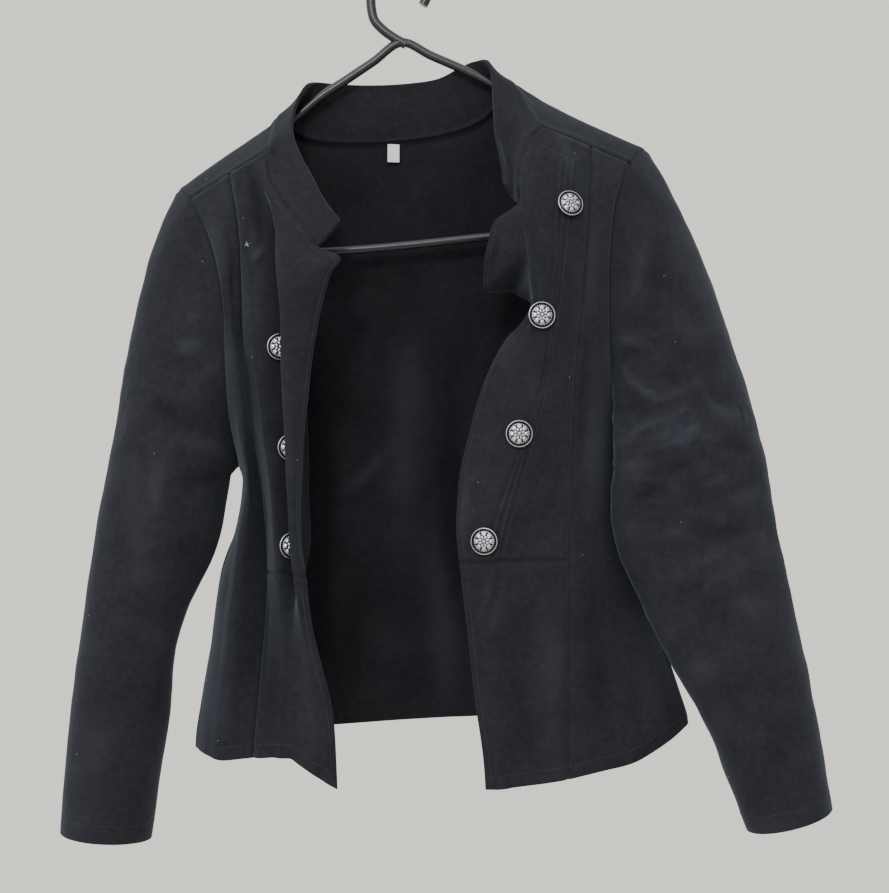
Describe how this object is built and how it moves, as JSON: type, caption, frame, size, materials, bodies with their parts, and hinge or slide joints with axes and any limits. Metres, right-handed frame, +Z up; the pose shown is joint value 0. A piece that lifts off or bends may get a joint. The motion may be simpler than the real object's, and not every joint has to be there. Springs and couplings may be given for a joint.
{
  "type": "blazer on hanger",
  "caption": "Cropped open-front blazer with a stand collar, princess seams, a waist seam and domed metal buttons, hanging on a tubular plastic hanger",
  "frame": {"origin": "the inner top of the hanger's hook, where a rail touches it", "axes": "+Z up, the front of the garment faces -Y, the wearer's right side is at -X"},
  "size_m": [0.6301, 0.1289, 0.7339],
  "materials": {
    "cloth": "dark navy brushed suede-like cloth, matt with a faint sheen on its ridges",
    "button": "antiqued silver relief with dark recesses and a thin bright rim",
    "label": "bare white woven tab",
    "hanger": "black moulded plastic, satin gloss"
  },
  "bodies": {
    "root": {"back": "cloth", "front_centre_r": "cloth", "front_centre_l": "cloth", "peplum_r": "cloth", "peplum_l": "cloth", "side_front_r": "cloth", "side_front_l": "cloth", "sleeve_r": "cloth", "sleeve_l": "cloth", "collar": "cloth", "button_band_r": "cloth", "button_band_l": "cloth", "button_l1": "button", "button_l2": "button", "button_l3": "button", "button_l4": "button", "button_r2": "button", "button_r3": "button", "button_r4": "button", "size_label": "label", "hanger": "hanger"}
  },
  "joints": []
}
